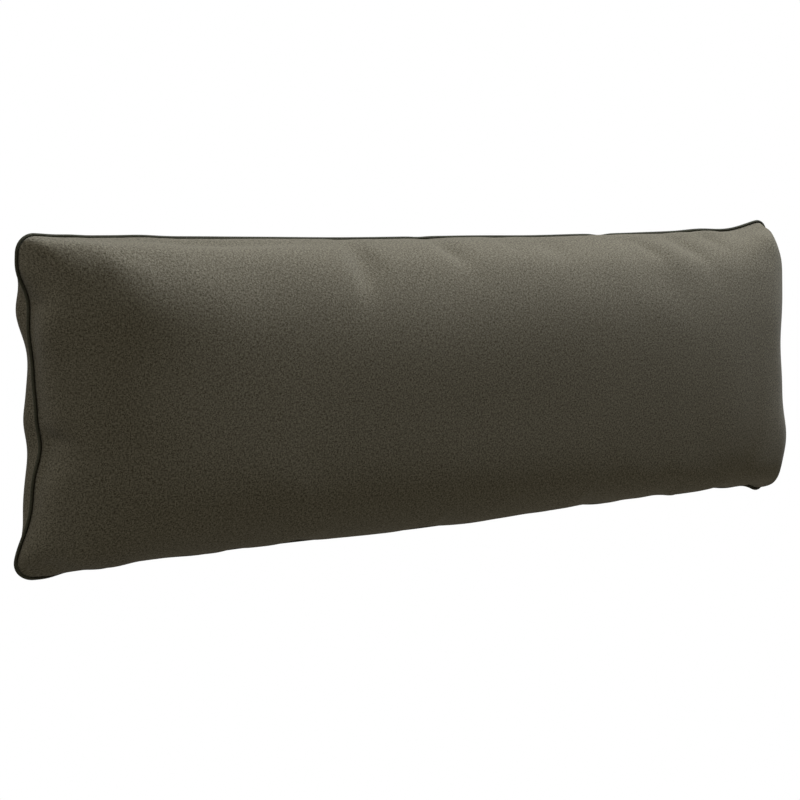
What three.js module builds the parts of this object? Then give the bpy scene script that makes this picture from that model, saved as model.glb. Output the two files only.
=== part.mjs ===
// A long knife-edge back cushion for a sofa: a front and a back panel of woven cloth, joined in one
// seam all the way round and filled, with a thin piping cord caught in that seam.
// Millimetres, +Z up. The cushion lies on its back panel with the front panel up: X runs along its
// length, Y from its lower long side to its upper one. The origin is under the middle, on the ground.
import * as THREE from 'three';

// Driving dimensions
const overallLength = 1200;   // nominal, over the piping: the corners that the tucks let out make the
const overallHeight = 400;    // finished cushion 5 mm longer, and its drawn-in sides 2 mm less high
const frontCrown = 125.7;     // how far the front panel stands off the seam at its middle
const backCrown = 92;         // the same for the back panel, before it flattens where it rests
const restFlat = 6;           // how much of the back crown the resting place flattens
const cornerRadius = 19;      // of the seam, seen from the front
const seamBand = 2;           // thickness of the sewn edge between the panels
const pipingDiameter = 5;
const sewnGap = 0.3;          // clearance between the piping and the sewn edge

// The crown profile across each direction is a full roll at either seam and a slow dome over the whole
// panel: these are the dome's shares
const domeShare = { along: 0.277, across: 0.216 };

// How each side of the seam draws in between its corners, easing in over a distance from either end,
// how far the panels swell past the seam beside it and at what distance from it that swell peaks, and
// how they roll up from it: the power sets how far the roll reaches in, and the root how steeply it
// starts
const sides = {
  left: { drawIn: 17.5, easeLow: 62, easeHigh: 58, swell: 5, peak: 14, rollPower: 9.8, rollRoot: 0.53 },
  right: { drawIn: 21.2, easeLow: 60, easeHigh: 60, swell: 1.3, peak: 14, rollPower: 18, rollRoot: 0.23 },
  lower: { drawIn: 8, easeLow: 60, easeHigh: 40, swell: 6.5, peak: 32, rollPower: 6.6, rollRoot: 0.54 },
  upper: { drawIn: 13.4, easeLow: 240, easeHigh: 38, swell: 4.8, peak: 4, rollPower: 5.2, rollRoot: 0.55 },
};

// The powers by which the swell keeps up towards the corners
const swellFade = { ends: 6, longSides: 10 };

// Tucks: where the stitching pulls the seam further in (positive) or lets it out (negative). `at` is
// measured along the side from its middle, `width` is half the tuck's spread, and `reach` is how far
// it fades into the panels.
const tucks = [
  { side: 'left', at: -174, depth: -8.5, width: 28, reach: 40 },
  { side: 'left', at: -34, depth: 8.5, width: 39, reach: 90 },
  { side: 'left', at: 75, depth: -4, width: 22, reach: 60 },
  { side: 'left', at: 152, depth: -8.5, width: 27, reach: 40 },
  { side: 'right', at: 24, depth: 2.3, width: 37, reach: 90 },
  { side: 'lower', at: -493, depth: -3.8, width: 24, reach: 60 },
  { side: 'lower', at: -446, depth: -0.6, width: 32, reach: 60 },
  { side: 'lower', at: -364, depth: -1.8, width: 32, reach: 60 },
  { side: 'lower', at: -52, depth: -2.2, width: 114, reach: 60 },
  { side: 'lower', at: 229, depth: 4.1, width: 30, reach: 60 },
  { side: 'lower', at: 365, depth: 4.6, width: 71, reach: 60 },
  { side: 'lower', at: 473, depth: 6.4, width: 38, reach: 60 },
  { side: 'lower', at: 557, depth: 4.8, width: 28, reach: 60 },
  { side: 'upper', at: -533, depth: 4.2, width: 36, reach: 60 },
  { side: 'upper', at: -462, depth: 3.4, width: 44, reach: 60 },
  { side: 'upper', at: -263, depth: -1.8, width: 80, reach: 60 },
  { side: 'upper', at: 160, depth: 1.2, width: 70, reach: 60 },
  { side: 'upper', at: 288, depth: 2.2, width: 61, reach: 60 },
  { side: 'upper', at: 462, depth: -2.4, width: 50, reach: 60 },
  { side: 'upper', at: 553, depth: -2.7, width: 29, reach: 60 },
];

// Bulges: where the filling swells one panel further past the seam, or less far (negative)
const bulges = [
  { side: 'left', face: 'back', at: -115, rise: 5.1, width: 29 },
  { side: 'left', face: 'back', at: -32, rise: 11.6, width: 54 },
  { side: 'left', face: 'back', at: 110, rise: 12.6, width: 32 },
  { side: 'right', face: 'front', at: -110, rise: 12.8, width: 38 },
  { side: 'right', face: 'front', at: 24, rise: -5.9, width: 61 },
  { side: 'right', face: 'front', at: 173, rise: -16.6, width: 22 },
  { side: 'lower', face: 'front', at: -506, rise: 6.3, width: 54 },
  { side: 'lower', face: 'front', at: 52, rise: 0.5, width: 147 },
  { side: 'lower', face: 'front', at: 524, rise: 7.5, width: 49 },
  { side: 'upper', face: 'front', at: 70, rise: 2.4, width: 20 },
  { side: 'upper', face: 'front', at: 274, rise: 2.4, width: 20 },
];

// Facets
const lengthSteps = 48;
const heightSteps = 22;
const edgeCrowding = 1.8;     // above 1 the steps grow finer towards the seam
const pipingSides = 8;

// The seam's half sizes, inside the piping, and the share of the radius that a rounded corner loses
const halfLength = overallLength / 2 - pipingDiameter - sewnGap;
const halfHeight = overallHeight / 2 - pipingDiameter - sewnGap;
const cornerLoss = cornerRadius * (1 - Math.SQRT1_2);
const seamHeight = seamBand / 2 + backCrown - restFlat;

// Panel coordinates from -1 to 1, crowded towards both ends
function crowdedSteps(count) {
  return Array.from({ length: count + 1 }, (_, i) => {
    const even = (2 * i) / count - 1;
    return Math.sign(even) * (1 - (1 - Math.abs(even)) ** edgeCrowding);
  });
}

// How far a rounded corner cuts a side back at a distance `at` from the side's middle
function cornerCut(at, half) {
  const past = Math.min(Math.max(Math.abs(at) - (half - cornerRadius), 0), cornerRadius);
  return cornerRadius - Math.sqrt(cornerRadius ** 2 - past ** 2);
}

function drawnIn(side, at, half) {
  const easeFrom = (distance, ease) => 1 - Math.exp(-((distance / ease) ** 2));
  return side.drawIn * easeFrom(half + at, side.easeLow) * easeFrom(half - at, side.easeHigh);
}

// The sum of a table's rows for one side: each row's amount, fading with its width along the side
function gathered(rows, amount, at) {
  return rows.reduce((sum, row) => sum + amount(row) * Math.exp(-(((at - row.at) / row.width) ** 2)), 0);
}

function tucked(name, at, fromSeam) {
  return gathered(
    tucks.filter((tuck) => tuck.side === name),
    (tuck) => tuck.depth * Math.exp(-fromSeam / tuck.reach),
    at,
  );
}

// How far a panel stands past the seam: its even swell and its bulges, less towards the side's ends,
// rising to the full amount at the swell's peak and fading again
function swollen(name, face, at, part, fromSeam) {
  const { swell, peak } = sides[name];
  const fade = name === 'left' || name === 'right' ? swellFade.ends : swellFade.longSides;
  const own = bulges.filter((bulge) => bulge.side === name && bulge.face === face);
  const full = (swell + gathered(own, (bulge) => bulge.rise, at)) * (1 - Math.abs(part) ** fade);
  return full * (fromSeam / peak) * Math.exp(1 - fromSeam / peak);
}

// How far out from the middle a panel point lies towards one side: its share `part` of the way to the
// seam, which is cut by the corners, drawn in and tucked, and its swell
function reachTowards(name, face, part, at, partAlong, half, otherHalf) {
  const fromSeam = (1 - part) * half;
  return part * (half - cornerCut(at, otherHalf) - drawnIn(sides[name], at, otherHalf))
    - tucked(name, at, fromSeam)
    + swollen(name, face, at, partAlong, fromSeam);
}

// Where a panel point lies seen from the front, for u along the length and v along the height
function plan(u, v, face) {
  const alongX = u * (halfLength - cornerLoss);
  const alongY = v * (halfHeight - cornerLoss);
  const end = u < 0 ? 'left' : 'right';
  const long = v < 0 ? 'lower' : 'upper';
  const x = Math.sign(u) * reachTowards(end, face, Math.abs(u), alongY, v, halfLength, halfHeight);
  const y = Math.sign(v) * reachTowards(long, face, Math.abs(v), alongX, u, halfHeight, halfLength);
  return [x, y];
}

// Share of the full crown at a panel coordinate: a roll from the seam plus a slow dome
function crownShare(at, { rollPower, rollRoot }, dome) {
  const roll = Math.max(1 - Math.abs(at) ** rollPower, 0) ** rollRoot;
  return (1 - dome) * roll + dome * (1 - at * at);
}

function geometryFrom(points, faces) {
  const geometry = new THREE.BufferGeometry();
  geometry.setAttribute('position', new THREE.Float32BufferAttribute(points.flat(), 3));
  geometry.setIndex(faces.flat());
  geometry.computeVertexNormals();
  return geometry;
}

// Indices of a panel grid's rim, once round anticlockwise seen from the front
function rimOf(columns, rows) {
  const index = (i, j) => i * (rows + 1) + j;
  return [
    ...Array.from({ length: columns }, (_, i) => index(i, 0)),
    ...Array.from({ length: rows }, (_, j) => index(columns, j)),
    ...Array.from({ length: columns }, (_, i) => index(columns - i, rows)),
    ...Array.from({ length: rows }, (_, j) => index(0, rows - j)),
  ];
}

// The filled cushion: the front panel's grid, the back panel's grid, and the sewn edge between them.
// The back panel lies flat on the ground wherever its crown would reach below it.
function cushionBody() {
  const across = crowdedSteps(lengthSteps);
  const up = crowdedSteps(heightSteps);
  const front = [];
  const back = [];
  for (const u of across) {
    for (const v of up) {
      const share = crownShare(u, u < 0 ? sides.left : sides.right, domeShare.along)
        * crownShare(v, v < 0 ? sides.lower : sides.upper, domeShare.across);
      front.push([...plan(u, v, 'front'), seamHeight + seamBand / 2 + frontCrown * share]);
      back.push([...plan(u, v, 'back'), Math.max(seamHeight - seamBand / 2 - backCrown * share, 0)]);
    }
  }
  const backStart = front.length;
  const faces = [];
  for (let i = 0; i < lengthSteps; i += 1) {
    for (let j = 0; j < heightSteps; j += 1) {
      const a = i * (heightSteps + 1) + j;
      const b = a + heightSteps + 1;
      faces.push([a, b, b + 1], [a, b + 1, a + 1]);
      faces.push([backStart + a, backStart + b + 1, backStart + b]);
      faces.push([backStart + a, backStart + a + 1, backStart + b + 1]);
    }
  }
  const rim = rimOf(lengthSteps, heightSteps);
  rim.forEach((here, i) => {
    const next = rim[(i + 1) % rim.length];
    faces.push([here, backStart + here, backStart + next], [here, backStart + next, next]);
  });
  return geometryFrom([...front, ...back], faces);
}

// A round cord carried once round the seam, its centre standing off the sewn edge by its radius and
// the sewing clearance
function pipingRing() {
  const radius = pipingDiameter / 2;
  const across = crowdedSteps(lengthSteps);
  const up = crowdedSteps(heightSteps);
  const rim = rimOf(lengthSteps, heightSteps).map((index) => {
    const [x, y] = plan(
      across[Math.floor(index / (heightSteps + 1))],
      up[index % (heightSteps + 1)],
      'front',
    );
    return new THREE.Vector2(x, y);
  });
  const points = rim.flatMap((here, i) => {
    const before = rim[(i + rim.length - 1) % rim.length];
    const after = rim[(i + 1) % rim.length];
    const into = here.clone().sub(before).normalize();
    const onward = after.clone().sub(here).normalize();
    const along = into.clone().add(onward).normalize();
    const outward = new THREE.Vector2(along.y, -along.x);
    const mitre = 1 / along.dot(into);
    return Array.from({ length: pipingSides }, (_, k) => {
      const angle = (2 * Math.PI * k) / pipingSides;
      const standOff = (radius + sewnGap + radius * Math.cos(angle)) * mitre;
      return [
        here.x + outward.x * standOff,
        here.y + outward.y * standOff,
        seamHeight + radius * Math.sin(angle),
      ];
    });
  });
  const faces = rim.flatMap((_, i) => {
    const next = (i + 1) % rim.length;
    return Array.from({ length: pipingSides }, (__, k) => {
      const a = i * pipingSides + k;
      const b = i * pipingSides + ((k + 1) % pipingSides);
      const c = next * pipingSides + ((k + 1) % pipingSides);
      const d = next * pipingSides + k;
      return [[a, d, c], [a, c, b]];
    }).flat();
  });
  return geometryFrom(points, faces);
}

const cloth = new THREE.MeshStandardMaterial({ color: 0x4a463b, roughness: 0.95, metalness: 0 });
const cord = new THREE.MeshStandardMaterial({ color: 0x23221c, roughness: 0.9, metalness: 0 });

const body = new THREE.Mesh(cushionBody(), cloth);
body.name = 'cushion_body';
const piping = new THREE.Mesh(pipingRing(), cord);
piping.name = 'piping';

const cushion = new THREE.Group();
cushion.add(body, piping);

// Centre the finished outline over the origin
const outline = new THREE.Box3().setFromObject(cushion);
const middle = outline.getCenter(new THREE.Vector3());
body.position.set(-middle.x, -middle.y, 0);
piping.position.copy(body.position);

export default cushion;
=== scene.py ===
import math

import bpy
import numpy as np
from mathutils import Matrix, Vector


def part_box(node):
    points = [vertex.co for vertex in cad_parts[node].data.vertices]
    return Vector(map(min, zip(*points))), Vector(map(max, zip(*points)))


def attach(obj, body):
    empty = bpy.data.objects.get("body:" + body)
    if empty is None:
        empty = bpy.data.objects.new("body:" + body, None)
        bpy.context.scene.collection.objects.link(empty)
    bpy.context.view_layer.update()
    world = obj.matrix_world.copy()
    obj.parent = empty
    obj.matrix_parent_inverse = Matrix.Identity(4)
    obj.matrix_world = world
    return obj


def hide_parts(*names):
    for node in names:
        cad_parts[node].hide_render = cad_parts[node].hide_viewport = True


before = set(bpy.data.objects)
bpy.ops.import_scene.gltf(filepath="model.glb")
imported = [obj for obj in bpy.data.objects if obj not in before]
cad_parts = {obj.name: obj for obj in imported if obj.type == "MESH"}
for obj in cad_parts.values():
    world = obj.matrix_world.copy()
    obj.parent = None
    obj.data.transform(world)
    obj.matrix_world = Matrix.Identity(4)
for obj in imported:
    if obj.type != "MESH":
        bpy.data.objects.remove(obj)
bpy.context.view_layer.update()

# A long knife-edge back cushion, lying on its back panel. X runs along its length, Y from its lower
# long side to its upper one, and Z up out of the front panel. Lengths are in metres.
_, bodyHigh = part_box("cushion_body")
seamLow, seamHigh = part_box("piping")
seamZ = (seamLow.z + seamHigh.z) / 2
pipingRadius = (seamHigh.z - seamLow.z) / 2


# Rows of a table as dictionaries, its columns' names given as words
def table(columns, rows):
    return [dict(zip(columns.split(), row)) for row in rows]


# The seam's outline, seen from the front
outline = {
    "length": 1.2,           # nominal, over the piping
    "height": 0.4,
    "cornerRadius": 0.019,
    "sewnGap": 0.0003,       # between the piping and the sewn edge
    "endFade": 6,            # powers by which the swell keeps up towards the corners
    "longFade": 10,
    "loopStep": 0.003,       # between points along the seam
}
# How far each side draws in between its corners, how it eases in from its low and high ends, how far the
# panels swell past the seam beside it and at what distance from it that swell is fullest, and how the
# crown rolls up from it: the power sets how far the roll reaches in, and the root how steeply it starts
sides = {
    "left": {"drawIn": 0.0183, "easeLow": 0.062, "easeHigh": 0.058, "swell": 0.005,
             "peak": 0.014, "rollPower": 9.8, "rollRoot": 0.53},
    "right": {"drawIn": 0.0212, "easeLow": 0.060, "easeHigh": 0.060, "swell": 0.0013,
              "peak": 0.014, "rollPower": 18.0, "rollRoot": 0.23},
    "lower": {"drawIn": 0.0071, "easeLow": 0.060, "easeHigh": 0.040, "swell": 0.0048,
              "peak": 0.032, "rollPower": 6.6, "rollRoot": 0.54},
    "upper": {"drawIn": 0.0134, "easeLow": 0.240, "easeHigh": 0.038, "swell": 0.0048,
              "peak": 0.004, "rollPower": 5.2, "rollRoot": 0.55},
}
# Tucks pull the seam further in, or let it out where the depth is negative
tucks = table("side at depth width reach", [
    ("left", -0.177, -0.0071, 0.034, 0.040),
    ("left", -0.086, -0.0015, 0.024, 0.040),
    ("left", -0.047, 0.0081, 0.029, 0.090),
    ("left", 0.001, 0.0022, 0.020, 0.040),
    ("left", 0.087, -0.0048, 0.029, 0.060),
    ("left", 0.154, -0.0066, 0.022, 0.040),
    ("right", 0.024, 0.0023, 0.037, 0.090),
    ("lower", -0.561, -0.0022, 0.017, 0.060),
    ("lower", -0.493, -0.0038, 0.024, 0.060),
    ("lower", -0.446, -0.0006, 0.032, 0.060),
    ("lower", -0.364, -0.0018, 0.032, 0.060),
    ("lower", -0.052, -0.0022, 0.114, 0.060),
    ("lower", 0.229, 0.0041, 0.030, 0.060),
    ("lower", 0.365, 0.0046, 0.071, 0.060),
    ("lower", 0.473, 0.0064, 0.038, 0.060),
    ("lower", 0.557, 0.0048, 0.028, 0.060),
    ("lower", 0.588, -0.0032, 0.020, 0.060),
    ("upper", -0.532, 0.0039, 0.033, 0.060),
    ("upper", -0.531, -0.0021, 0.020, 0.030),
    ("upper", -0.450, 0.0032, 0.054, 0.060),
    ("upper", -0.441, -0.0027, 0.033, 0.030),
    ("upper", -0.265, -0.0012, 0.094, 0.060),
    ("upper", -0.035, 0.0008, 0.013, 0.030),
    ("upper", 0.157, 0.0016, 0.078, 0.060),
    ("upper", 0.273, 0.0020, 0.014, 0.030),
    ("upper", 0.293, 0.0012, 0.079, 0.060),
    ("upper", 0.465, -0.0028, 0.038, 0.060),
    ("upper", 0.553, -0.0042, 0.036, 0.060),
])
# Bulges, where the filling swells a panel further past the seam, or less far where the rise is negative
bulges = table("side face at rise width", [
    ("left", "back", -0.115, 0.0062, 0.029),
    ("left", "back", -0.032, 0.0126, 0.054),
    ("left", "back", 0.110, 0.0138, 0.032),
    ("right", "front", -0.110, 0.0128, 0.038),
    ("right", "front", 0.024, -0.0059, 0.061),
    ("right", "front", 0.173, -0.0166, 0.022),
    ("lower", "front", -0.578, 0.0130, 0.020),
    ("lower", "front", -0.506, 0.0048, 0.054),
    ("lower", "front", 0.052, 0.0005, 0.147),
    ("lower", "front", 0.524, 0.0075, 0.049),
    ("lower", "front", 0.586, 0.0160, 0.022),
    ("upper", "front", -0.530, 0.0008, 0.036),
    ("upper", "front", -0.350, -0.0090, 0.120),
    ("upper", "front", -0.010, -0.0040, 0.120),
    ("upper", "front", 0.070, 0.0024, 0.020),
    ("upper", "front", 0.274, 0.0024, 0.020),
    ("upper", "front", 0.430, 0.0020, 0.090),
])

halfLength = outline["length"] / 2 - 2 * pipingRadius - outline["sewnGap"]
halfHeight = outline["height"] / 2 - 2 * pipingRadius - outline["sewnGap"]
cornerLoss = outline["cornerRadius"] * (1 - math.sqrt(0.5))


# r − √(r² − past²), where past is the distance into the rounded corner
def cornerCut(at, half):
    radius = outline["cornerRadius"]
    past = np.clip(np.abs(at) - (half - radius), 0, radius)
    return radius - np.sqrt(radius**2 - past**2)


# depth · (1 − e^−(d/ease)²) from both ends of the side
def drawnIn(side, at, half):
    low = 1 - np.exp(-(((half + at) / side["easeLow"]) ** 2))
    high = 1 - np.exp(-(((half - at) / side["easeHigh"]) ** 2))
    return side["drawIn"] * low * high


# Sum of depth · e^(−((at − tuck)/width)² − distance/reach)
def tucked(name, at, fromSeam):
    total = np.zeros(np.broadcast(at, fromSeam).shape)
    for tuck in tucks:
        if tuck["side"] == name:
            along = ((at - tuck["at"]) / tuck["width"]) ** 2
            total = total + tuck["depth"] * np.exp(-along - fromSeam / tuck["reach"])
    return total


# Rises to 1 at the distance peak from the seam and fades again: (d/peak) · e^(1 − d/peak)
def swollen(fromSeam, peak):
    return (fromSeam / peak) * np.exp(1 - fromSeam / peak)


# How far one side swells past the seam: its even swell and its bulges, faded towards the side's ends
def swelling(name, front, at, part, fromSeam, fade):
    total = sides[name]["swell"]
    for bulge in bulges:
        if bulge["side"] == name and bulge["face"] == ("front" if front else "back"):
            total = total + bulge["rise"] * np.exp(-(((at - bulge["at"]) / bulge["width"]) ** 2))
    return total * (1 - np.abs(part) ** fade) * swollen(fromSeam, sides[name]["peak"])


# How far a panel point lies from the middle towards one side: its part of the way to the drawn-in seam,
# less the tucks there, plus the swell. The second half of the arguments says where it is along that side.
def towards(name, front, part, half, at, atPart, atHalf, fade):
    fromSeam = (1 - np.abs(part)) * half
    reach = half - cornerCut(at, atHalf) - drawnIn(sides[name], at, atHalf)
    swell = swelling(name, front, at, atPart, fromSeam, fade)
    return np.abs(part) * reach - tucked(name, at, fromSeam) + swell


# Where a panel point lies seen from the front, for u along the length and v along the height, −1 to 1
def plan(u, v, front=True):
    alongX = u * (halfLength - cornerLoss)
    alongY = v * (halfHeight - cornerLoss)
    endways = (u, halfLength, alongY, v, halfHeight, outline["endFade"])
    sideways = (v, halfHeight, alongX, u, halfLength, outline["longFade"])
    x = np.where(u < 0, -towards("left", front, *endways), towards("right", front, *endways))
    y = np.where(v < 0, -towards("lower", front, *sideways), towards("upper", front, *sideways))
    return x, y


# The filled panels and their crown
cushion = {
    "columns": 352,          # facets along and across each panel
    "rows": 126,
    "seamBand": 0.002,       # thickness of the sewn edge between the panels
    "backCrown": 0.092,
    "alongDome": 0.277,      # share of the crown that is one slow dome over the whole panel
    "acrossDome": 0.216,
    "restSoftness": 0.004,   # how softly the back panel turns flat where it rests
    "restReach": 0.012,      # height above that place over which folds fade out
    "seamReach": 0.006,      # length of cloth beside the seam over which they fade out
    "profileSteps": 4000,    # steps by which the crown's profile is measured
}
frontCrown = bodyHigh.z - seamZ - cushion["seamBand"] / 2


# (1 − dome) · (1 − |t|^power)^root + dome · (1 − t²)
def crownShare(at, lowSide, highSide, dome):
    power, root = [
        np.where(at < 0, sides[lowSide][key], sides[highSide][key]) for key in ("rollPower", "rollRoot")
    ]
    roll = np.maximum(1 - np.abs(at) ** power, 0) ** root
    return (1 - dome) * roll + dome * (1 - at**2)


# The crown's shares along the length and along the height, multiplied with each other in panelPoints
def alongShare(u):
    return crownShare(u, "left", "right", cushion["alongDome"])


def acrossShare(v):
    return crownShare(v, "lower", "upper", cushion["acrossDome"])


# Panel coordinates from −1 to 1 whose steps are equal lengths of cloth over the crown's profile
def evenSteps(count, half, share):
    fine = np.linspace(-1, 1, cushion["profileSteps"] + 1)
    rise = frontCrown * share(fine)
    cloth = np.concatenate([[0], np.cumsum(np.hypot(np.diff(fine) * half, np.diff(rise)))])
    return np.interp(np.linspace(0, cloth[-1], count + 1), cloth, fine)


# A panel as a grid of points: the plan point, raised or lowered from the seam by the crown's share
def panelPoints(u, v, front):
    x, y = plan(u, v, front)
    share = alongShare(u) * acrossShare(v)
    edge = cushion["seamBand"] / 2
    if front:
        z = seamZ + edge + frontCrown * share
    else:
        raw = seamZ - edge - cushion["backCrown"] * share
        z = (raw + np.sqrt(raw**2 + cushion["restSoftness"] ** 2)) / 2
    return np.stack([x, y, z + 0 * x], axis=-1)


# The panel's points at even steps of cloth
def panelGrid(columns, rows, front):
    u = evenSteps(columns, halfLength, alongShare)[:, None]
    v = evenSteps(rows, halfHeight, acrossShare)[None, :]
    return panelPoints(u, v, front)


# Quads of a grid of points, anticlockwise seen from above, or from below if turned
def gridFaces(columns, rows, start, turned):
    i, j = np.meshgrid(np.arange(columns), np.arange(rows), indexing="ij")
    a = start + i * (rows + 1) + j
    corners = [a, a + rows + 1, a + rows + 2, a + 1]
    if turned:
        corners.reverse()
    return np.stack(corners, axis=-1).reshape(-1, 4)


# Indices of a grid's rim, once round anticlockwise seen from above
def rimOf(columns, rows):
    index = np.arange((columns + 1) * (rows + 1)).reshape(columns + 1, rows + 1)
    return np.concatenate([index[:-1, 0], index[-1, :-1], index[:0:-1, -1], index[0, :0:-1]])


# Both panels and the sewn edge that joins their rims
def cushionFaces(columns, rows):
    backStart = (columns + 1) * (rows + 1)
    rim = rimOf(columns, rows)
    onward = np.roll(rim, -1)
    band = np.stack([rim, rim + backStart, onward + backStart, onward], axis=-1)
    return np.concatenate([
        gridFaces(columns, rows, 0, False),
        gridFaces(columns, rows, backStart, True),
        band,
    ])


# Outward directions of a panel's points, from the cross product of its two tangents
def panelNormals(points, front):
    alongX = np.gradient(points, axis=0)
    alongY = np.gradient(points, axis=1)
    normal = np.cross(alongX, alongY) * (1 if front else -1)
    leastLength = 1e-12      # keeps the division safe
    return normal / np.maximum(np.linalg.norm(normal, axis=-1, keepdims=True), leastLength)


# Length of cloth from the panel's middle lines, along the grid's columns and rows
def clothPlaces(points):
    def fromMiddle(axis):
        step = np.linalg.norm(np.diff(points, axis=axis), axis=-1)
        pad = [(1, 0), (0, 0)] if axis == 0 else [(0, 0), (1, 0)]
        length = np.cumsum(np.pad(step, pad), axis=axis)
        middle = np.take(length, [length.shape[axis] // 2], axis=axis)
        return length - middle

    return fromMiddle(0), fromMiddle(1)


def newMesh(name, points, faces):
    mesh = bpy.data.meshes.new(name)
    mesh.from_pydata(points.reshape(-1, 3), [], faces)
    mesh.update()
    mesh.shade_smooth()
    return mesh


def newPiece(name, mesh, material):
    piece = bpy.data.objects.new(name, mesh)
    bpy.context.scene.collection.objects.link(piece)
    mesh.materials.append(material)
    return piece


def storeVectors(mesh, name, vectors):
    layer = mesh.attributes.new(name, "FLOAT_VECTOR", "POINT")
    layer.data.foreach_set("vector", np.ascontiguousarray(vectors, dtype=np.float32).ravel())


# The rim of the cushion as a closed loop of points in the seam's plane at even steps, and how far along
# the loop each one is
def seamLoop():
    u = evenSteps(cushion["columns"], halfLength, alongShare)[:, None]
    v = evenSteps(cushion["rows"], halfHeight, acrossShare)[None, :]
    x, y = plan(u, v)
    rim = rimOf(cushion["columns"], cushion["rows"])
    loop = np.stack([x.ravel()[rim], y.ravel()[rim]], axis=-1)
    closed = np.concatenate([loop, loop[:1]])
    length = np.concatenate([[0], np.cumsum(np.linalg.norm(np.diff(closed, axis=0), axis=-1))])
    count = round(length[-1] / outline["loopStep"])
    at = np.linspace(0, length[-1], count, endpoint=False)
    return np.stack([np.interp(at, length, closed[:, k]) for k in (0, 1)], axis=-1), at


# The CAD outline is centred over the origin by its box, so this one is moved onto the same place
def outlineShift():
    loop, _ = seamLoop()
    reach = 2 * pipingRadius + outline["sewnGap"]
    low = loop.min(axis=0) - reach
    high = loop.max(axis=0) + reach
    middle = np.array([seamLow.x + seamHigh.x, seamLow.y + seamHigh.y]) / 2
    return middle - (low + high) / 2


shift = np.append(outlineShift(), 0)


# A node's output, wrapped so that arithmetic on it adds Math nodes
class Wire:
    def __init__(self, tree, socket):
        self.tree = tree
        self.socket = socket

    def math(self, operation, *values, clamp=False):
        sockets = dict(enumerate((self, *values)))
        return self.tree.node("ShaderNodeMath", {"operation": operation, "use_clamp": clamp}, sockets)

    def __add__(self, other):
        return self.math("ADD", other)

    def __sub__(self, other):
        return self.math("SUBTRACT", other)

    def __rsub__(self, other):
        return (self * -1) + other

    def __mul__(self, other):
        return self.math("MULTIPLY", other)

    def __truediv__(self, other):
        return self.math("DIVIDE", other)

    def __pow__(self, other):
        return self.math("POWER", other)

    __radd__ = __add__
    __rmul__ = __mul__

    def floor(self):
        return self.math("FLOOR")

    def sine(self):
        return self.math("SINE")

    def clamped(self):
        return self.math("ADD", 0.0, clamp=True)

    # Another output of the same node
    def beside(self, name):
        return Wire(self.tree, self.socket.node.outputs[name])


class NodeTree:
    def __init__(self, owner):
        owner.use_nodes = True
        self.owner = owner
        self.tree = owner.node_tree
        self.tree.nodes.clear()

    # Adds a node: first its settings, then the values or links of its sockets
    def node(self, kind, settings=None, sockets=None, output=0):
        node = self.tree.nodes.new(kind)
        for name, value in (settings or {}).items():
            setattr(node, name, value)
        for name, value in (sockets or {}).items():
            if isinstance(value, Wire):
                self.tree.links.new(value.socket, node.inputs[name])
            else:
                node.inputs[name].default_value = value
        return Wire(self, node.outputs[output]) if node.outputs else None

    # A Mix node's colours go into its sockets 6 and 7 and come out of its output 2
    def mixColours(self, factor, first, second):
        sockets = {0: factor, 6: first, 7: second}
        return self.node("ShaderNodeMix", {"data_type": "RGBA"}, sockets, output=2)

    def noise(self, where, scale, detail, dimensions="3D"):
        sockets = {"Vector": where, "Scale": scale, "Detail": detail, "Roughness": 0.5}
        return self.node("ShaderNodeTexNoise", {"noise_dimensions": dimensions}, sockets)

    def place(self, x, y, z):
        return self.node("ShaderNodeCombineXYZ", sockets={0: x, 1: y, 2: z})

    # One random value from 0 to 1 for each whole-numbered place
    def scatter(self, x, y, z):
        where = self.place(x, y, z)
        return self.node("ShaderNodeTexWhiteNoise", {"noise_dimensions": "3D"}, {"Vector": where})

    def finish(self, shader, kind="ShaderNodeOutputMaterial"):
        self.node(kind, sockets={"Surface": shader})
        return self.owner


yarns = {
    "roundness": 0.6,        # power of a yarn's arch across itself
    "dip": 0.65,             # how far it sinks between its crossings
    "panelsApart": 999,      # yarns between the patterns of the two panels
}


# Plain weave in a slubby melange yarn, for a place counted in yarns. Warp and weft show by turns; each
# yarn changes shade in slubs along its length and from fleck to fleck, and is round across itself and
# arched over its crossing. Gives the shade, about 0.5, and the height from 0 to 1.
def plainWeave(tree, a, b, side, look):
    i = a.floor()
    j = b.floor()
    width, length = look["slubWidth"], look["slubLength"]
    archA = ((a - i) * math.pi).sine()
    archB = ((b - j) * math.pi).sine()
    warp = (i + j).math("PINGPONG", 1.0)
    apart = side * yarns["panelsApart"]
    warpPlace = tree.place(a / width + apart, b / length, 0.0)
    weftPlace = tree.place(a / length, b / width + apart, 0.0)
    warpSlub = tree.noise(warpPlace, 1.0, 0.0, "2D") - 0.5
    weftSlub = tree.noise(weftPlace, 1.0, 0.0, "2D") - 0.5
    fleck = tree.scatter(i, j, side) - 0.5
    slub = warp * warpSlub + (1 - warp) * weftSlub
    dip, roundness = yarns["dip"], yarns["roundness"]
    warpHeight = (archA ** roundness) * (1 - dip + dip * archB)
    weftHeight = (archB ** roundness) * (1 - dip + dip * archA)
    shade = 0.5 + look["slub"] * slub + look["fleck"] * fleck
    return shade, warp * warpHeight + (1 - warp) * weftHeight


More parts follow.
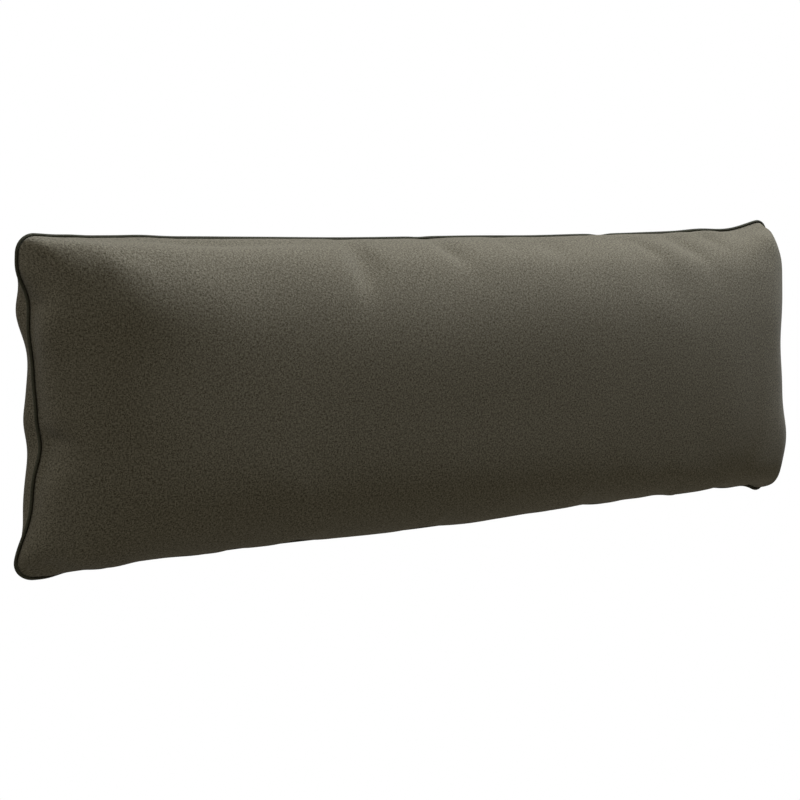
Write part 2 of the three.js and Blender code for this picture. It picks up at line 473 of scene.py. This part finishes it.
# Cloth from dark to light by its tone, with its relief as a bump
def clothShader(tree, look, tone, relief):
    colour = tree.mixColours(tone.clamped(), (*look["dark"], 1.0), (*look["light"], 1.0))
    bump = tree.node("ShaderNodeBump", sockets={
        "Strength": 1.0,
        "Distance": look["yarnRelief"],
        "Height": relief,
    })
    return tree.node("ShaderNodeBsdfPrincipled", sockets={
        "Base Color": colour,
        "Roughness": look["roughness"],
        "Normal": bump,
        "Sheen Weight": look["sheenWeight"],
        "Sheen Roughness": look["sheenRoughness"],
        "Sheen Tint": (1.0, 1.0, 1.0, 1.0),
        "Specular IOR Level": look["specular"],
    })


clothLook = {
    "yarnPitch": 0.0012,
    "dark": (0.0274, 0.0235, 0.0152),
    "light": (0.0962, 0.0849, 0.0628),
    "slubWidth": 1.4,        # of a slub, in yarns
    "slubLength": 2.6,
    "slub": 1.45,            # how strongly the slubs and the flecks differ in shade
    "fleck": 0.30,
    "fadeSize": 0.12,        # broad, faint unevenness of the dye
    "fade": 0.10,
    "gapShade": 0.22,        # painted shade: how much darker the gaps between the yarns are painted
    "gapLevel": 0.6,         # the height at which the painted shade leaves the colour alone; crests above it are painted lighter
    "roughness": 0.95,
    "specular": 0.0,
    "sheenWeight": 0.04,
    "sheenRoughness": 0.5,
    "yarnRelief": 0.00010,
    "fuzzRelief": 0.35,      # of the loose fibre, beside that of the yarns
    "fuzzSize": 0.5,         # in yarns
}


# The cover's weave, on its own length of cloth, with loose fibre and a slow unevenness of shade
def coverCloth(look):
    tree = NodeTree(bpy.data.materials.new("coverCloth"))
    place = tree.node("ShaderNodeAttribute", {"attribute_name": "clothPlace"}, output="Vector")
    parts = tree.node("ShaderNodeSeparateXYZ", sockets={0: place})
    along, across, side = [parts.beside(name) for name in "XYZ"]
    pitch = look["yarnPitch"]
    shade, height = plainWeave(tree, along / pitch, across / pitch, side, look)
    fuzz = tree.noise(place, 1 / (pitch * look["fuzzSize"]), 2.0)
    fade = tree.noise(place, 1 / look["fadeSize"], 2.0)
    shade = (shade + look["fade"] * (fade - 0.5)).clamped()
    # Painted shade: the colour darkens with the yarns' height in the gaps between them, and lightens a
    # little on their crests
    tone = shade * (1 - look["gapShade"] * (look["gapLevel"] - height))
    return tree.finish(clothShader(tree, look, tone, height + look["fuzzRelief"] * fuzz))


pipingLook = {
    "yarnPitch": 0.0007,
    "dark": (0.0170, 0.0162, 0.0100),
    "light": (0.0370, 0.0352, 0.0225),
    "slubWidth": 2.0,
    "slubLength": 4.0,
    "slub": 1.5,
    "fleck": 0.6,
    "gapShade": 0.3,
    "gapLevel": 1.0,
    "roughness": 0.9,
    "specular": 0.1,
    "sheenWeight": 0.02,
    "sheenRoughness": 0.35,
    "yarnRelief": 0.00012,
}


# The same weave on the bias: its yarns run round the cord at 45 degrees
def pipingCloth(look):
    tree = NodeTree(bpy.data.materials.new("pipingCloth"))
    place = tree.node("ShaderNodeAttribute", {"attribute_name": "cordPlace"}, output="Vector")
    parts = tree.node("ShaderNodeSeparateXYZ", sockets={0: place})
    along, around, side = [parts.beside(name) for name in "XYZ"]
    bias = look["yarnPitch"] * math.sqrt(2)
    shade, height = plainWeave(tree, (along + around) / bias, (along - around) / bias, side, look)
    # Painted shade: the colour darkens with the yarns' height in the gaps between them
    tone = shade.clamped() * (1 - look["gapShade"] * (look["gapLevel"] - height))
    return tree.finish(clothShader(tree, look, tone, height))


# The cover as cloth: a coarse copy of it, sewn fast at the seam, that swells a little under the filling
simulation = {
    "columns": 132,
    "rows": 50,
    "frames": 20,
    "quality": 6,            # solver steps in each frame
    "pressure": 4.0,
    "growth": 0.01,          # how much larger the cloth is cut than the shape it covers
    "stretchStiffness": 40.0,
    "bendStiffness": 5.0,
    "mostMove": 0.025,       # cap on how far a point may move
    "foldReach": 5.0,        # folds wider than this, in grid steps, are left to the crown
    "carryReach": 0.65,      # softness, in grid steps, with which folds go onto the finer grid
    "frontShare": 0.08,      # how much of the folds each panel keeps
    "backShare": 0.15,
}


# Each place's weights over the knots 0 to count, e^−½(distance/width)², every row adding up to 1
def softWeights(places, count, width):
    weight = np.exp(-0.5 * ((places[:, None] - np.arange(count + 1)) / width) ** 2)
    return weight / weight.sum(axis=1, keepdims=True)


# Steps the cloth through its frames and gives where its points end
def settledCloth(points, columns, rows):
    mesh = newMesh("clothTrial", points, cushionFaces(columns, rows))
    trial = bpy.data.objects.new("clothTrial", mesh)
    scene = bpy.context.scene
    scene.collection.objects.link(trial)
    rim = rimOf(columns, rows)
    sewn = trial.vertex_groups.new(name="sewn")
    sewn.add(np.concatenate([rim, rim + (columns + 1) * (rows + 1)]).tolist(), 1.0, "REPLACE")
    cloth = trial.modifiers.new("cloth", "CLOTH")
    cloth.collision_settings.use_collision = False
    settings = cloth.settings
    settings.vertex_group_mass = "sewn"
    settings.quality = simulation["quality"]
    settings.use_pressure = True
    settings.uniform_pressure_force = simulation["pressure"]
    settings.effector_weights.gravity = 0
    settings.shrink_min = -simulation["growth"]
    settings.tension_stiffness = simulation["stretchStiffness"]
    settings.compression_stiffness = simulation["stretchStiffness"]
    settings.bending_stiffness = simulation["bendStiffness"]
    cloth.point_cache.frame_end = simulation["frames"]
    for step in range(1, simulation["frames"] + 1):
        scene.frame_set(step)
    settled = trial.evaluated_get(bpy.context.evaluated_depsgraph_get())
    ends = np.empty(points.size, dtype=np.float32)
    settled.to_mesh().vertices.foreach_get("co", ends)
    settled.to_mesh_clear()
    bpy.data.objects.remove(trial)
    bpy.data.meshes.remove(mesh)
    scene.frame_set(1)
    return ends.reshape(-1, 3).astype(float)


# The fine folds of each panel, as heights along its normals on the coarse grid: how far the cloth
# moved, capped, less the same movement smoothed
def simulatedFolds():
    columns, rows = simulation["columns"], simulation["rows"]
    panels = [panelGrid(columns, rows, front) for front in (True, False)]
    ends = settledCloth(np.concatenate([panel.reshape(-1, 3) for panel in panels]), columns, rows)
    smoothAlong = softWeights(np.arange(columns + 1), columns, simulation["foldReach"])
    smoothAcross = softWeights(np.arange(rows + 1), rows, simulation["foldReach"])
    folds = []
    for panel, end, front in zip(panels, np.split(ends, 2), (True, False)):
        move = end.reshape(panel.shape) - panel
        length = np.linalg.norm(move, axis=-1, keepdims=True)
        move *= simulation["mostMove"] / np.maximum(length, simulation["mostMove"])
        height = (move * panelNormals(panel, front)).sum(axis=-1)
        folds.append(height - smoothAlong @ height @ smoothAcross.T)
    return folds


# Carries a coarse grid of heights onto the finer grid of the panel
def carried(heights, columns, rows):
    coarse = [count - 1 for count in heights.shape]
    along = softWeights(np.linspace(0, coarse[0], columns + 1), coarse[0], simulation["carryReach"])
    across = softWeights(np.linspace(0, coarse[1], rows + 1), coarse[1], simulation["carryReach"])
    return along @ heights @ across.T


# Creases of the front panel, ridges where the rise is positive and troughs where it is negative: where
# the middle is, by length of cloth from the panel's own middle; the direction; half of the length and
# of the width over which it fades; and the rise
creases = table("along across degrees length width rise", [
    # the whole length
    (-0.060, 0.130, 5, 4.000, 0.060, -0.0029),
    (0.040, -0.060, -10, 5.500, 0.090, -0.0045),
    (0.120, 0.162, -2.5, 0.550, 0.024, 0.0014),
    # upper left
    (-0.590, 0.180, -55, 0.028, 0.011, 0.0017),
    (-0.572, 0.190, 0, 0.110, 0.014, 0.0055),
    (-0.535, 0.175, 0, 0.075, 0.022, 0.0064),
    (-0.530, 0.155, 0, 0.050, 0.022, 0.0017),
    (-0.522, 0.170, -45, 0.018, 0.014, 0.0018),
    (-0.520, 0.120, 0, 0.055, 0.036, 0.0050),
    (-0.510, 0.150, -40, 0.045, 0.024, 0.0026),
    (-0.505, 0.180, 0, 0.040, 0.020, -0.0009),
    (-0.505, 0.205, 0, 0.040, 0.014, -0.0006),
    (-0.486, 0.154, -45, 0.024, 0.013, 0.0013),
    (-0.470, 0.140, 25, 0.225, 0.080, 0.0082),
    (-0.455, 0.155, 0, 0.035, 0.022, 0.0010),
    # upper middle
    (-0.360, 0.160, -5, 0.085, 0.050, -0.0053),
    (-0.354, 0.220, 0, 0.195, 0.011, -0.0029),
    (-0.182, 0.170, 80, 0.040, 0.019, -0.0097),
    (-0.166, 0.186, -80, 0.040, 0.014, -0.0023),
    (-0.035, 0.200, 80, 0.050, 0.021, -0.0023),
    (-0.034, 0.184, -80, 0.045, 0.008, -0.0006),
    (-0.032, 0.196, -80, 0.028, 0.015, -0.0046),
    (0.064, 0.198, -75, 0.020, 0.008, -0.0008),
    (0.065, 0.220, -85, 0.024, 0.020, -0.0047),
    (0.080, 0.170, -25, 0.185, 0.075, 0.0042),
    (0.130, 0.195, -90, 0.028, 0.024, -0.0027),
    (0.240, 0.180, -10, 0.060, 0.045, 0.0034),
    # upper right
    (0.275, 0.100, -40, 0.080, 0.025, 0.0008),
    (0.292, 0.190, -55, 0.035, 0.018, -0.0031),
    (0.298, 0.188, -70, 0.035, 0.010, -0.0014),
    (0.325, 0.175, -45, 0.055, 0.035, 0.0059),
    (0.368, 0.186, -65, 0.026, 0.014, -0.0034),
    (0.382, 0.186, -70, 0.040, 0.011, -0.0021),
    (0.435, 0.170, -25, 0.080, 0.050, 0.0035),
    (0.435, 0.195, -30, 0.020, 0.024, -0.0021),
    (0.438, 0.198, -60, 0.035, 0.011, -0.0016),
    (0.446, 0.210, 0, 0.255, 0.016, -0.0028),
    (0.515, 0.155, -50, 0.020, 0.026, -0.0057),
    (0.520, 0.170, -60, 0.035, 0.015, -0.0015),
    (0.525, 0.170, 40, 0.040, 0.028, 0.0157),
    # right end
    (0.370, -0.164, -4, 0.190, 0.036, 0.0052),
    (0.462, -0.148, 70, 0.035, 0.016, -0.0016),
    (0.470, -0.115, -80, 0.140, 0.027, 0.0011),
    (0.470, -0.040, -90, 0.105, 0.040, -0.0033),
    (0.510, -0.195, -75, 0.028, 0.021, -0.0037),
    (0.515, -0.020, -80, 0.070, 0.023, -0.0017),
    (0.604, -0.002, 80, 0.105, 0.018, -0.0021),
    # lower right
    (0.275, -0.200, -45, 0.040, 0.029, -0.0057),
    (0.320, -0.190, -60, 0.055, 0.021, -0.0039),
    (0.336, -0.178, -80, 0.016, 0.011, 0.0036),
    (0.415, -0.150, -20, 0.030, 0.022, -0.0015),
    (0.420, -0.205, -75, 0.016, 0.045, -0.0041),
    # lower middle
    (-0.084, -0.178, 65, 0.024, 0.012, 0.0035),
    (-0.068, -0.144, 55, 0.022, 0.011, 0.0006),
    (-0.065, -0.210, -70, 0.040, 0.040, -0.0043),
    (0.140, -0.220, -10, 0.105, 0.070, -0.0043),
    (0.152, -0.164, 70, 0.028, 0.012, 0.0032),
    (0.175, -0.185, -45, 0.035, 0.022, -0.0052),
    (0.210, -0.145, -5, 0.375, 0.105, 0.0056),
    # lower left
    (-0.348, -0.176, 75, 0.012, 0.011, 0.0008),
    (-0.346, -0.220, -70, 0.020, 0.012, -0.0024),
    (-0.340, -0.170, 80, 0.014, 0.030, -0.0015),
    (-0.295, -0.115, -30, 0.065, 0.028, 0.0013),
    (-0.285, -0.180, 65, 0.026, 0.022, 0.0025),
    (-0.262, -0.178, 70, 0.016, 0.012, 0.0018),
    (-0.260, -0.220, -60, 0.035, 0.020, -0.0042),
    # left end
    (-0.615, -0.055, 40, 0.050, 0.030, -0.0047),
    (-0.612, 0.124, 5, 0.016, 0.008, -0.0011),
    (-0.610, 0.118, 5, 0.018, 0.009, -0.0022),
    (-0.608, 0.178, -60, 0.060, 0.018, -0.0070),
    (-0.604, -0.036, -5, 0.020, 0.007, -0.0031),
    (-0.600, 0.095, -25, 0.022, 0.055, 0.0058),
    (-0.592, -0.188, 0, 0.028, 0.018, -0.0082),
    (-0.578, 0.018, -50, 0.026, 0.014, -0.0017),
    (-0.574, -0.090, -45, 0.012, 0.010, -0.0018),
    (-0.555, -0.180, 15, 0.030, 0.030, 0.0059),
])


# Sum of rise · e^(−(s/length)² − (t/width)²), s and t being measured along and across each crease
def creaseHeight(along, across):
    total = np.zeros(along.shape)
    for crease in creases:
        angle = math.radians(crease["degrees"])
        x, y = along - crease["along"], across - crease["across"]
        s = (x * math.cos(angle) + y * math.sin(angle)) / crease["length"]
        t = (y * math.cos(angle) - x * math.sin(angle)) / crease["width"]
        total += crease["rise"] * np.exp(-(s**2) - t**2)
    return total


# 1 − e^−(d/reach)², where d is the length of cloth to the nearest seam
def offSeam(along, across, reach):
    fromEnds = np.minimum(along - along[:1], along[-1:] - along)
    fromLong = np.minimum(across - across[:, :1], across[:, -1:] - across)
    return 1 - np.exp(-((np.minimum(fromEnds, fromLong) / reach) ** 2))


# Two panels raised along their normals by their creases and folds, joined at the rim into one closed cover
def buildCushion():
    columns, rows = cushion["columns"], cushion["rows"]
    folds = simulatedFolds()
    print("cloth not simulated" if folds is None else "cloth simulated")
    grids, places = [], []
    for front in (True, False):
        points = panelGrid(columns, rows, front)
        along, across = clothPlaces(points)
        height = creaseHeight(along, across) if front else np.zeros(along.shape)
        if folds is not None:
            share = simulation["frontShare" if front else "backShare"]
            height += share * carried(folds[0 if front else 1], columns, rows)
        height *= offSeam(along, across, cushion["seamReach"])
        if not front:
            height *= 1 - np.exp(-((points[..., 2] / cushion["restReach"]) ** 2))
        points = points + panelNormals(points, front) * height[..., None]
        side = np.full(along.shape, 0.0 if front else 1.0)
        grids.append(points.reshape(-1, 3))
        places.append(np.stack([along, across, side], axis=-1).reshape(-1, 3))
    mesh = newMesh("cushionCover", np.concatenate(grids) + shift, cushionFaces(columns, rows))
    storeVectors(mesh, "clothPlace", np.concatenate(places))
    piece = newPiece("cushionCover", mesh, coverCloth(clothLook))
    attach(piece, "root")
    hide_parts("cushion_body")


piping = {
    "facets": 14,
    "slimness": 0.84,        # share of the CAD ring's thickness that the sewn-in cord shows
}


# A circle carried round the seam, its centre off the sewn edge by its radius, so that it touches it
def buildPiping():
    loop, at = seamLoop()
    count, facets = len(loop), piping["facets"]
    tangent = np.roll(loop, -1, axis=0) - np.roll(loop, 1, axis=0)
    tangent /= np.linalg.norm(tangent, axis=-1, keepdims=True)
    outward = np.stack([tangent[:, 1], -tangent[:, 0]], axis=-1)
    radius = pipingRadius * piping["slimness"]
    centre = loop + outward * radius
    angle = np.linspace(0, 2 * math.pi, facets, endpoint=False)
    across = radius * np.cos(angle)[None, :, None] * outward[:, None, :]
    up = np.broadcast_to(seamZ + radius * np.sin(angle), (count, facets))
    points = np.concatenate([centre[:, None, :] + across, up[..., None]], axis=-1)
    i, j = np.meshgrid(np.arange(count), np.arange(facets), indexing="ij")
    onward = (i + 1) % count * facets
    around = (j + 1) % facets
    faces = np.stack([i * facets + j, onward + j, onward + around, i * facets + around], axis=-1)
    mesh = newMesh("pipingCord", points.reshape(-1, 3) + shift, faces.reshape(-1, 4))
    # Round the cord from its outermost line, over and under alike, so that the pattern closes
    fromOutside = np.where(angle > math.pi, 2 * math.pi - angle, angle) * radius
    length = np.broadcast_to(at[:, None], (count, facets))
    places = [length, np.broadcast_to(fromOutside, (count, facets)), np.zeros((count, facets))]
    storeVectors(mesh, "cordPlace", np.stack(places, axis=-1))
    piece = newPiece("pipingCord", mesh, pipingCloth(pipingLook))
    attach(piece, "root")
    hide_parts("piping")


buildCushion()
print("cushion cover built")
buildPiping()
print("piping built")


# Where the camera stands and what it sees
studio = {
    "aim": (-0.1446, 0.127, 0.2),    # on the seam outline's own axes
    "distance": 2.5317,
    "turnDegrees": 35.755,           # to the left of face on
    "pitchDegrees": 3.057,           # looking down the cushion's height
    "lens": 93.81,
    "sensor": 36.0,
    "shiftY": -0.14,
    "farthest": 100.0,
}


# Turned about the upright of the standing cushion, then pitched down its height
def addCamera():
    data = bpy.data.cameras.new("camera")
    data.lens = studio["lens"]
    data.sensor_width = studio["sensor"]
    data.shift_y = studio["shiftY"]
    data.clip_end = studio["farthest"]
    turn = math.radians(studio["turnDegrees"])
    pitch = math.radians(studio["pitchDegrees"])
    level = Vector((math.sin(turn), 0, -math.cos(turn)))
    forward = level * math.cos(pitch) - Vector((0, math.sin(pitch), 0))
    up = Vector((0, math.cos(pitch), 0)) + level * math.sin(pitch)
    right = forward.cross(up)
    camera = bpy.data.objects.new("camera", data)
    turned = Matrix((right, up, -forward)).transposed().to_4x4()
    place = Vector(studio["aim"]) + Vector(shift) - forward * studio["distance"]
    camera.matrix_world = Matrix.Translation(place) @ turned
    bpy.context.scene.collection.objects.link(camera)
    bpy.context.scene.camera = camera


# Soft boxes round the cushion, aimed at its middle
coolLight = (0.85, 0.91, 1.0)
warmLight = (1.0, 0.98, 0.86)
lights = table("name azimuth elevation power colour", [
    ("keyLight", 60, 5, 1406, coolLight),
    ("fillLight", 120, 5, 93, coolLight),
    ("sideLight", 150, 30, 178, warmLight),
    ("frontLight", 300, 30, 194, warmLight),
])
surroundings = {
    "lightSize": 2.6,
    "lightDistance": 6.0,
    "lightHeight": 0.1,
    "ambient": 0.66,         # of the glow from behind the cushion
    "floorHalf": 60.0,
}


def addLight(light):
    data = bpy.data.lights.new(light["name"], "AREA")
    data.shape = "SQUARE"
    data.size = surroundings["lightSize"]
    data.energy = light["power"]
    data.color = light["colour"]
    around, above = math.radians(light["azimuth"]), math.radians(light["elevation"])
    level = math.cos(above)
    away = Vector((math.cos(around) * level, math.sin(around) * level, math.sin(above)))
    place = Vector((0, 0, surroundings["lightHeight"])) + away * surroundings["lightDistance"]
    lamp = bpy.data.objects.new(light["name"], data)
    lamp.matrix_world = Matrix.Translation(place) @ away.to_track_quat("Z", "Y").to_matrix().to_4x4()
    lamp.visible_camera = False
    bpy.context.scene.collection.objects.link(lamp)


# A white floor that glows evenly, seen by the camera only, so that it takes no part in the lighting
def addFloor():
    half = surroundings["floorHalf"]
    corners = np.array([(-half, -half, 0), (half, -half, 0), (half, half, 0), (-half, half, 0)])
    tree = NodeTree(bpy.data.materials.new("floorPaint"))
    glow = tree.node("ShaderNodeEmission", sockets={"Color": (1, 1, 1, 1), "Strength": 1.0})
    floor = newPiece("floor", newMesh("floor", corners, [(0, 1, 2, 3)]), tree.finish(glow))
    floor.visible_diffuse = False
    floor.visible_glossy = False
    floor.visible_shadow = False


# White to look at; as a light it is dimmer, and comes only from below the floor's level
def addWorld():
    world = bpy.data.worlds.new("studio")
    tree = NodeTree(world)
    seen = tree.node("ShaderNodeLightPath", output="Is Camera Ray")
    toward = tree.node("ShaderNodeTexCoord", output="Generated")
    height = tree.node("ShaderNodeSeparateXYZ", sockets={0: toward}).beside("Z")
    strength = seen + (1 - seen) * surroundings["ambient"] * height.math("LESS_THAN", 0.0)
    glow = tree.node("ShaderNodeBackground", sockets={"Color": (1, 1, 1, 1), "Strength": strength})
    bpy.context.scene.world = tree.finish(glow, "ShaderNodeOutputWorld")


addCamera()
addFloor()
addWorld()
for light in lights:
    addLight(light)
bpy.context.scene.view_settings.view_transform = "Standard"
print("stage, lights and camera set")
